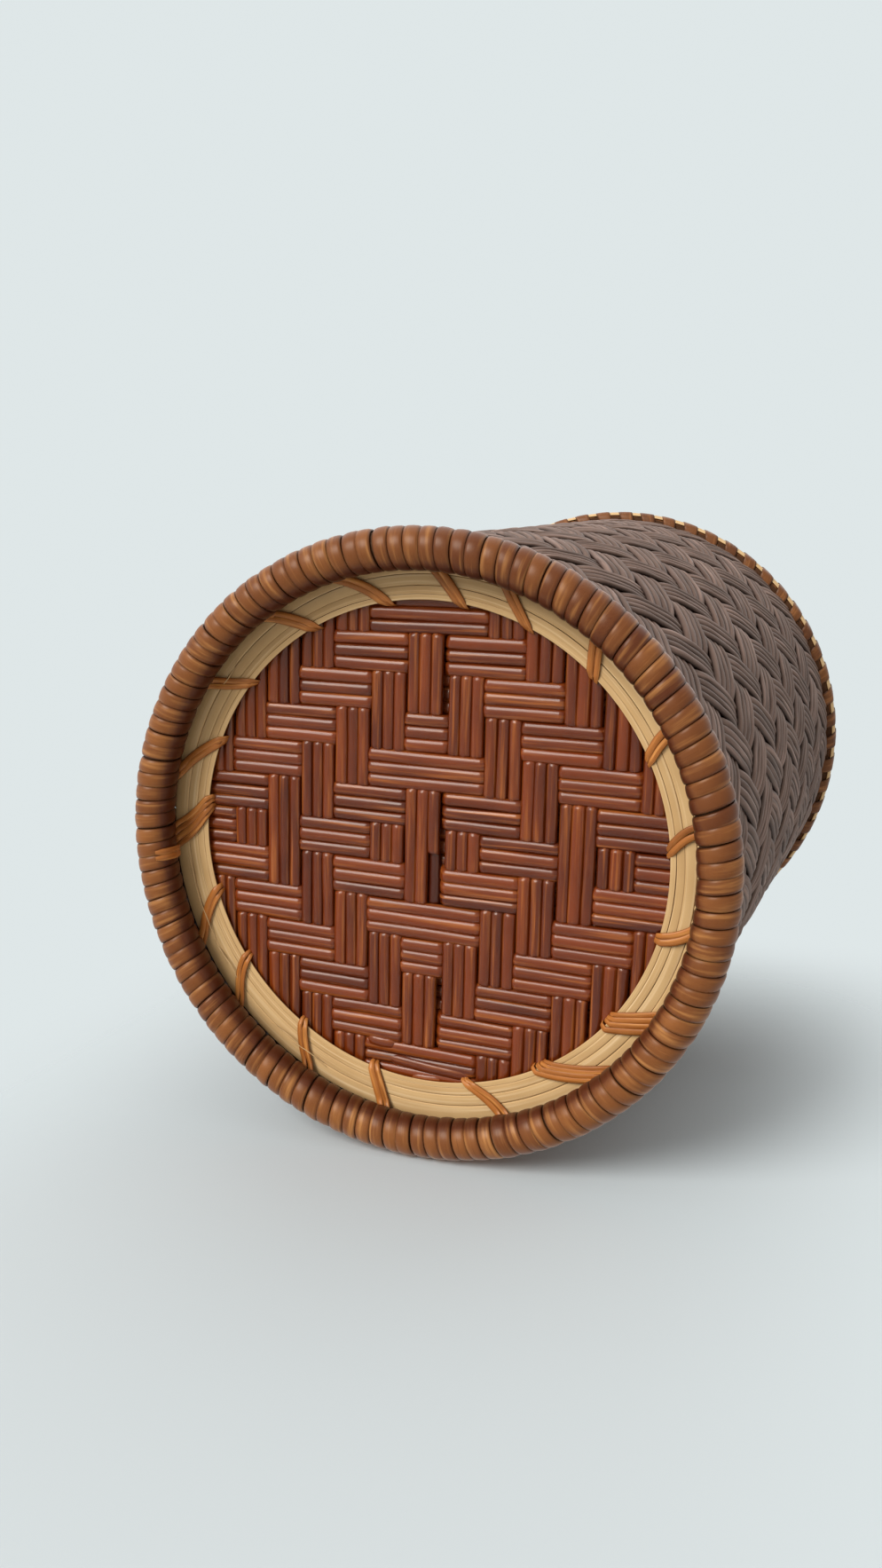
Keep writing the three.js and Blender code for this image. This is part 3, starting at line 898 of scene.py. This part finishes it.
@dataclass
class BasePanel:
    """Base panel: reeds in threes, over two and under two, turned back at the middle."""

    pitch: float = 13.45 * MM
    weft_gap: float = 0.2 * MM
    warp_gap: float = 0.75 * MM
    middle_gap: float = 1.6 * MM
    thickness: float = 3.6 * MM
    rise: float = 1.95 * MM
    radius: float = 97.6 * MM
    last_group: int = 6
    reeds_per_group: int = 3
    edge_reeds: int = 2
    turn: float = 50.5
    height: float = 21.55 * MM
    samples: int = 220
    reed_fill: float = 1.09
    dip: float = 0.13
    overrun: float = 0.085
    spread: float = 0.13
    broken_reed: float = 1.0
    broken_at: float = 1.3 * MM
    broken_depth: float = 1.7 * MM
    width_spread: float = 0.12
    stray_aside: float = 1.0 * MM
    stray_up: float = 0.9 * MM
    loose_reeds: tuple[tuple[float, float, float, float], ...] = (
        (-21.0, -10.0, 74.6, 74.9), (-13.0, 19.0, 80.6, 82.6), (-4.0, 9.0, 86.4, 85.8),
    )

    def build(self) -> None:
        """Makes both sets of reeds, and the loose ones by the edge."""
        for reed_set in ReedSet:
            stem = f"base_{reed_set.name.lower()}"
            nodes = (f"{stem}_{k:02d}" for k in range(1, 2 * self.last_group + 2))
            fit(self.reeds(reed_set), "base_reed", *nodes)
        fit(self.loose(), "base_reed")

    def direction(self, turn: float) -> Vector:
        """The way that the wefts run, turned by an angle in degrees."""
        return polar(1.0, math.radians(self.turn + turn))

    def loose(self) -> Piece:
        """Short reeds that lie on the others; their ends, along and aside, are in millimetres.

        Returns:
            The piece.
        """
        run, side = self.direction(0.0), self.direction(90.0)
        under = self.height - self.rise - self.thickness / 4
        scales = [0.55] + [1.0] * 7 + [0.5]
        paths = []
        for start, end, first, last in self.loose_reeds:
            points = [
                run * ((start + (end - start) * share) * MM)
                + side * ((first + (last - first) * share) * MM)
                - DOWN * (under + abs(share - 0.5) * MM)
                for share in shares(len(scales))
            ]
            paths.append(Path(points, [DOWN] * len(scales), scales))
        width, thickness = self.pitch / self.reeds_per_group * 0.95, self.thickness * 0.9
        finish = BASE_REED.material()
        return straps("base_loose_reeds", finish, paths, width, thickness, corners=12)

    def shows(self, group: Value, crossing: Value) -> Value:
        """Is 1 where the weft lies over the warp, seen from below the basket."""
        return ((abs(group) + abs(crossing)) % 4.0) > 1.5

    def reeds(self, reed_set: ReedSet) -> Piece:
        """One set of reeds, each of which dips and rises between the groups that it crosses.

        Args:
            reed_set: Which set.

        Returns:
            The piece.
        """
        warp = reed_set is ReedSet.WARP
        gap, salt = (self.warp_gap, 50.0) if warp else (self.weft_gap, 0.0)
        reed_pitch = (self.pitch - gap) / self.reeds_per_group
        half = self.last_group * self.reeds_per_group + 1 + self.edge_reeds
        tree = StrandTree(f"base_{reed_set.name.lower()}_reeds", BASE_REED.material(), {
            "Strands": 2 * half + 1,
            "Samples": self.samples,
            "Pitch": self.pitch,
            "Reed Pitch": reed_pitch,
            "Rise": self.rise,
            "Half Width": reed_pitch * self.reed_fill / 2,
            "Half Thickness": self.thickness / 2,
        })
        curves, graph = tree.threads(), tree.graph
        number = tree.stored("thread") - float(half)
        last = float(self.last_group)
        group = (number / self.reeds_per_group + 0.5).floor().at_least(-last).at_most(last)
        within = number - group * self.reeds_per_group
        aside = group * tree.size("Pitch") + within * tree.size("Reed Pitch")
        if warp:
            aside = aside - (group < 0.5) * self.middle_gap
        reach = (self.radius ** 2 - aside * aside).at_least(1e-6).root()
        along = (tree.stored("share") * 2.0 - 1.0) * reach
        shifted = 0.0 if warp else along.ease(0.2 * self.pitch, -0.2 * self.pitch)
        crossing = (along + shifted * self.middle_gap) / tree.size("Pitch")
        before = crossing.floor()
        here, there = self.shows(group, before), self.shows(group, before + 1.0)
        middle = (here - there) * (self.overrun * (-1.0 if warp else 1.0)) + 0.5
        share = (crossing - before - middle).ease(-self.dip, self.dip)
        over = here + (there - here) * share
        if warp:
            over = 1.0 - over
        level = (1.0 - 2.0 * over) * tree.size("Rise")
        sunk = 0.0
        if warp:
            past = (along - self.broken_at).ease(0.0, 0.5 * MM)
            mended = (along - 1.5 * self.pitch).ease(0.0, 3.0 * MM)
            sunk = graph.math("COMPARE", number, self.broken_reed, 0.1) * (past - mended)
            level = level + sunk * self.broken_depth
        sideways = graph.wander(graph.vector(along * 18.0, number * 3.1 + salt)) * self.stray_aside
        upward = graph.wander(graph.vector(along * 26.0, number * 2.3 + salt, 9.0)) * self.stray_up
        run, side = self.direction(reed_set.value), self.direction(90.0 - reed_set.value)
        offset = aside + sideways + within * tree.size("Reed Pitch") * (1.0 - over) * self.spread
        place = graph.vector(
            along * run.x + offset * side.x,
            along * run.y + offset * side.y,
            level + upward + self.height,
        )
        # Painted shade on the broken reed where it sinks into the weave.
        curves = tree.mark(curves, strand=number + salt, along=along, tone=sunk)
        own_size = 1.0 + graph.chance(number + salt) * self.width_spread
        size = own_size * ((1.0 - over) * self.spread + 1.0)
        curves = tree.bend(curves, place, graph.vector(*DOWN))
        return tree.sweep(curves, tree.section(10, 1.0, 0.84), size)


class Lean(Enum):
    """Which way a set of side strands leans as it goes up: to growing or falling angles."""

    FORWARD = 1
    BACK = -1


@dataclass
class WovenSide:
    """Side: groups of four strands that cross on the slant, over two and under two."""

    groups: int = 36
    strands: int = 4
    first_row_height: float = 36.8 * MM
    row_step: float = 14.553 * MM
    bottom: float = 14.0 * MM
    top: float = 300.3 * MM
    foot_height: float = 6.57 * MM
    foot_radius: float = 105.5 * MM
    rim_radius: float = 116.5 * MM
    rim_height: float = 309.7 * MM
    phase: float = 47.5
    strand_angle: float = 33.4
    thickness: float = 2.4 * MM
    rise: float = 1.4 * MM
    fill: float = 1.0
    squeeze: float = 0.1
    streak_stretch: float = 1.2
    wobble: float = 0.06
    bulge: float = 0.9 * MM
    width_spread: float = 0.14
    samples: int = 124
    parts: int = 2

    def build(self) -> None:
        """Makes both sets of strands, each in parts that stay small enough to export."""
        material = SIDE_STRAND.material()
        for lean in Lean:
            for part in range(self.parts):
                fit(self.part(lean, part, material), "side_strand", "woven_side")

    def part(self, lean: Lean, part: int, material: Material) -> Piece:
        """The strands of one set over one share of the basket's girth.

        Args:
            lean: Which set.
            part: Which share, from 0.
            material: The strands' finish.

        Returns:
            The piece.
        """
        groups = self.groups // self.parts
        spacing = TURN * self.foot_radius / self.groups * math.cos(math.radians(self.strand_angle))
        tree = StrandTree(f"side_{lean.name.lower()}_{part + 1}", material, {
            "Strands": groups * self.strands,
            "Samples": self.samples,
            "First Group": groups * part,
            "Rise": self.rise,
            "Half Width": spacing / self.strands / 2,
            "Half Thickness": self.thickness / 2,
        })
        curves, graph = tree.threads(), tree.graph
        thread = tree.stored("thread")
        salt = 200.0 if lean is Lean.BACK else 0.0
        local = (thread / self.strands + 0.01).floor()
        group = local + tree.size("First Group")
        within = thread - local * self.strands - (self.strands - 1) / 2
        number = group * self.strands + within + salt
        low = (self.bottom - self.first_row_height) / self.row_step
        high = (self.top - self.first_row_height) / self.row_step
        row = tree.stored("share") * (high - low) + low

        phase = row + within / self.strands * lean.value
        wave = ((phase - 1.5) * (math.pi / 2)).cos() * lean.value
        level = wave * 1.6 - wave * wave * wave * 0.6
        spread = (self.fill - self.squeeze) + level * self.squeeze
        wobble = graph.wander(graph.vector(row * 0.45, number * 1.7)) * self.wobble
        own = group + 0.5 + within / self.strands * spread + wobble
        other = own + row * lean.value
        bulge = graph.wander(graph.vector(row * 0.9, number * 0.37, 5.0)) * self.bulge

        height = row * self.row_step + self.first_row_height
        slope = (self.rim_radius - self.foot_radius) / (self.rim_height - self.foot_height)
        crown = self.foot_radius + (height - self.foot_height) * slope
        middle = crown - (self.rise + self.thickness / 2)
        distance = middle + level * tree.size("Rise") + bulge
        around = (own + other) * (math.pi / self.groups) + math.radians(self.phase)
        # Painted shade where the strands dip under others.
        along, tone = height * self.streak_stretch, level.ease(0.5, -0.7, 0.0, 0.95)
        curves = tree.mark(curves, strand=number, along=along, tone=tone)
        size = distance / self.foot_radius * (1.0 + graph.chance(number) * self.width_spread)
        curves = tree.bend(curves, graph.polar(distance, around, height), graph.polar(1.0, around))
        return tree.sweep(curves, tree.section(8, 0.85, 0.95), size)


@dataclass
class Rim:
    """Rim: wide turns of peel over a pale listing strip, and narrow ones that pass under it."""

    outer_radius: float = 120.1 * MM
    inner_radius: float = 107.0 * MM
    top: float = 309.6 * MM
    bottom: float = 299.2 * MM
    turns: int = 62
    steps: int = 26
    peel_thickness: float = 1.15 * MM
    wide_share: float = 0.58
    narrow_share: float = 0.48
    squareness: float = 0.62
    drift: float = 0.012
    swell: float = 0.24
    turn_length: float = 44.0 * MM
    listing_height: float = 2.9 * MM
    listing_thickness: float = 0.6 * MM
    listing_place: tuple[float, float] = (118.95 * MM, 302.1 * MM)
    listing_tilt: float = 28.0

    def build(self) -> None:
        """Makes the turns and the listing, and dresses the hoops inside."""
        peel = RIM_PEEL.material()
        wide = self.winding("rim_wide_turns", peel, self.wide_share, 0.0, 0.0)
        inset = self.peel_thickness * 0.6 + self.listing_thickness
        narrow = self.winding("rim_narrow_turns", peel, self.narrow_share, 0.5, inset)
        fit(wide, "rim_peel", "rim_wrap_1", "rim_wrap_2", "rim_wrap_3")
        fit(narrow, "rim_peel")
        fit(self.listing(), "pale_splint", "rim_listing")
        cane = HOOP_CANE.material()
        for name in ("rim_hoop_inner", "rim_hoop_outer"):
            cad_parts[name].data.materials.clear()
            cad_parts[name].data.materials.append(cane)

    def winding(self, name: str, finish: Material, share: float, offset: float,
                inset: float) -> Piece:
        """One spiral of turns round the two hoops.

        Args:
            name: The piece's name.
            finish: Its material.
            share: The width of a turn over the distance between turns.
            offset: How far it is shifted, in turns.
            inset: How far it lies inside the rim's outline.

        Returns:
            The piece.
        """
        pitch = TURN * self.outer_radius / self.turns
        across, high = self.outer_radius - self.inner_radius, self.top - self.bottom
        tree = StrandTree(name, finish, {
            "Strands": 1,
            "Samples": self.turns * self.steps + 1,
            "Turns": float(self.turns),
            "Offset": offset,
            "Middle Radius": (self.outer_radius + self.inner_radius) / 2,
            "Middle Height": (self.top + self.bottom) / 2,
            "Half Across": (across - self.peel_thickness) / 2 - inset,
            "Half High": (high - self.peel_thickness) / 2 - inset,
            "Half Width": pitch * share / 2,
            "Half Thickness": self.peel_thickness / 2,
        })
        curves, graph = tree.threads(), tree.graph
        turn = tree.stored("share") * tree.size("Turns")
        drift, swell = graph.wander(turn * 0.83 + 7.7), graph.wander(turn * 0.9 + 61.0)
        around = (turn + tree.size("Offset")) / tree.size("Turns") * TURN + drift * self.drift
        tube = math.pi / 2 - turn * TURN
        out, up = tube.cos().rounded(self.squareness), tube.sin().rounded(self.squareness)
        distance = tree.size("Middle Radius") + out * tree.size("Half Across")
        height = tree.size("Middle Height") + up * tree.size("Half High")
        place = graph.polar(distance, around, height)
        facing = graph.polar(tube.cos(), around, tube.sin())
        number = turn.floor() + 300.0 * share
        curves = tree.mark(curves, strand=number, along=turn * self.turn_length)
        scale = distance / self.outer_radius * (1.0 + swell * self.swell)
        return tree.sweep(tree.bend(curves, place, facing), tree.section(10, 0.5, 0.8), scale)

    def listing(self) -> Piece:
        """The pale strip that shows as dashes between the wide turns.

        Returns:
            The piece.
        """
        tree = StrandTree("rim_listing_strip", PALE_SPLINT.material(), {
            "Strands": 1, "Samples": 249,
            "Half Width": self.listing_height / 2, "Half Thickness": self.listing_thickness / 2,
        })
        curves, graph = tree.threads(), tree.graph
        around = tree.stored("share") * TURN
        upward = graph.wander(graph.polar(1.0, around, 2.0), scale=3.0, detail=2.0) * (0.8 * MM)
        radius, height = self.listing_place
        place = graph.polar(radius, around, upward + height)
        facing = graph.polar(1.0, around, -math.tan(math.radians(self.listing_tilt)))
        curves = tree.mark(curves, strand=3.0, along=around * radius)
        return tree.sweep(tree.bend(curves, place, facing), tree.section(8, 1.0, 0.5))


@dataclass(frozen=True)
class Lamp:
    """A soft white lamp far away: the way to it, its strength and its size in degrees."""

    name: str
    direction: tuple[float, float, float]
    strength: float
    size: float

    def share_on(self, normal: Vector) -> float:
        """What a plane gets from the lamp, over the light at which a colour looks as written."""
        return self.strength * max(0.0, normal.dot(Vector(self.direction).normalized())) / math.pi


@dataclass
class Studio:
    """Pale floors, soft lamps and the photograph's camera.

    The basket lies on its side in the photograph, so one floor touches its foot ring and its rim
    and fades out round it. The other is the floor that it stands on in the other views. Each is
    seen from its front only.
    """

    background: Colour = srgb(222, 230, 231)
    ambient: float = 0.46
    contact_angle: float = 138.4
    foot_contact: tuple[float, float] = (110.2 * MM, 7.4 * MM)
    rim_contact: tuple[float, float] = (120.5 * MM, 304.4 * MM)
    floor_reach: float = 6.0
    patch_aside: tuple[float, float] = (0.09, 0.23)
    patch_up: tuple[float, float] = (0.12, 0.34)
    camera_place: tuple[float, float, float] = (0.1787, 0.0456, -0.3643)
    camera_forward: tuple[float, float, float] = (-0.37695, -0.13498, 0.91635)
    camera_up: tuple[float, float, float] = (0.69510, -0.69510, 0.18355)
    lens: float = 27.99
    lamps: tuple[Lamp, ...] = (
        Lamp("window", (0.194, -0.704, -0.679), 2.55, 34.0),
        Lamp("overhead", (0.49, -0.48, 0.68), 1.0, 90.0),
    )

    def build(self) -> None:
        """Sets up the camera, the world, the lamps and both floors."""
        bpy.context.scene.view_settings.view_transform = "Standard"
        self.add_camera()
        self.add_world()
        for lamp in self.lamps:
            self.add_lamp(lamp)
        level = Vector((1.0, 0.0, 0.0)), Vector((0.0, 1.0, 0.0))
        self.add_floor("standing_floor", Vector((0.0, 0.0, 0.0)), *level)
        angle = math.radians(self.contact_angle)
        foot = polar(self.foot_contact[0], angle, self.foot_contact[1])
        rim = polar(self.rim_contact[0], angle, self.rim_contact[1])
        across = polar(1.0, angle + math.pi / 2)
        self.add_floor("lying_floor", foot, across, (foot - rim).normalized(), patchy=True)

    def patch(self, graph: Graph, across: Vector) -> Value:
        """Where the lying floor shows: by the basket, so that it is no wall in the upright views.

        Args:
            graph: The graph of its finish.
            across: The direction across the basket in that floor.

        Returns:
            1 beside the basket, and 0 away from it.
        """
        x, y, z = graph.parts(graph.node("ShaderNodeTexCoord").outputs["Object"])
        aside = abs(x * across.x + y * across.y)
        return aside.ease(*self.patch_aside, 1.0, 0.0) * z.ease(*self.patch_up, 1.0, 0.0)

    def add_camera(self) -> None:
        """Places the camera as the photograph's was."""
        data = bpy.data.cameras.new("photo_camera")
        data.lens = self.lens
        data.sensor_width = 36.0
        data.clip_start = 0.01
        camera = add_object("photo_camera", data)
        forward = Vector(self.camera_forward).normalized()
        right = forward.cross(Vector(self.camera_up)).normalized()
        turned = Matrix((right, right.cross(forward), -forward)).transposed().to_4x4()
        camera.matrix_world = Matrix.Translation(Vector(self.camera_place)) @ turned
        bpy.context.scene.camera = camera

    def add_world(self) -> None:
        """Even light from all round, and the pale background."""
        world = bpy.data.worlds.new("studio")
        bpy.context.scene.world = world
        graph = empty_graph(world)
        path = graph.node("ShaderNodeLightPath")
        seen = Value(graph, path.outputs["Is Camera Ray"])
        for name in ("Is Glossy Ray", "Is Transmission Ray"):
            seen = seen + Value(graph, path.outputs[name])
        white = {"Color": (1.0, 1.0, 1.0, 1.0), "Strength": self.ambient}
        light = graph.node("ShaderNodeBackground", {}, white)
        pale = graph.node("ShaderNodeBackground", {}, {"Color": self.background, "Strength": 1.0})
        both = graph.node("ShaderNodeMixShader", {}, {
            0: seen.at_most(1.0), 1: light.outputs[0], 2: pale.outputs[0],
        })
        graph.node("ShaderNodeOutputWorld", {}, {"Surface": both.outputs[0]})

    def add_lamp(self, lamp: Lamp) -> None:
        """Adds one soft lamp.

        Args:
            lamp: What it is like.
        """
        data = bpy.data.lights.new(lamp.name, "SUN")
        data.energy = lamp.strength
        data.angle = math.radians(lamp.size)
        holder = add_object(lamp.name, data)
        holder.rotation_mode = "QUATERNION"
        holder.rotation_quaternion = Vector(lamp.direction).to_track_quat("Z", "Y")

    def add_floor(self, name: str, centre: Vector, first: Vector, second: Vector,
                  patchy: bool = False) -> None:
        """Adds a wide floor that shows only from its front, in the background's colour.

        Args:
            name: The floor's name.
            centre: A point of it.
            first, second: Two directions in it, whose cross product is its front.
            patchy: Whether it shows only round the basket.
        """
        wide, deep = first * self.floor_reach, second * self.floor_reach
        corners = [centre + wide * a + deep * b for a, b in ((-1, -1), (1, -1), (1, 1), (-1, 1))]
        mesh = bpy.data.meshes.new(name)
        mesh.from_pydata(corners, [], [(0, 1, 2, 3)])
        mesh.materials.append(self.floor_finish(name, first, second, patchy))
        add_object(name, mesh)

    def floor_finish(self, name: str, first: Vector, second: Vector,
                     patchy: bool) -> Material:
        """A matt finish that comes out in the background's colour where nothing shades it.

        Args:
            name: The floor's name.
            first, second: Two directions in the floor, whose cross product is its front.
            patchy: Whether the floor shows only round the basket.

        Returns:
            The material.
        """
        normal = first.cross(second).normalized()
        light = self.ambient + sum(lamp.share_on(normal) for lamp in self.lamps)
        red, green, blue, _ = self.background
        material = bpy.data.materials.new(f"{name}_finish")
        graph = empty_graph(material)
        camera_ray = graph.value("ShaderNodeLightPath", output="Is Camera Ray")
        shown = 1.0 - graph.value("ShaderNodeNewGeometry", output="Backfacing")
        if patchy:
            shown = shown * self.patch(graph, first)
        matt = graph.node("ShaderNodeBsdfDiffuse", {}, {
            "Color": (red / light, green / light, blue / light, 1.0),
        })
        clear = graph.node("ShaderNodeBsdfTransparent")
        both = graph.node("ShaderNodeMixShader", {}, {
            0: camera_ray * shown, 1: clear.outputs[0], 2: matt.outputs[0],
        })
        graph.node("ShaderNodeOutputMaterial", {}, {"Surface": both.outputs[0]})
        return material


def write_sizes() -> None:
    """Updates the view layer."""
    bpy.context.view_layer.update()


def main() -> None:
    """Builds the studio and the basket, piece by piece."""
    logging.basicConfig(level=logging.INFO, format="%(name)s: %(message)s")
    Studio().build()
    for assembly in (FootRing(), SplintHoop(), Lashings(), BasePanel(), WovenSide(), Rim()):
        assembly.build()
        LOG.info("%s is built", type(assembly).__name__)
    write_sizes()


if __name__ == "__main__":
    main()
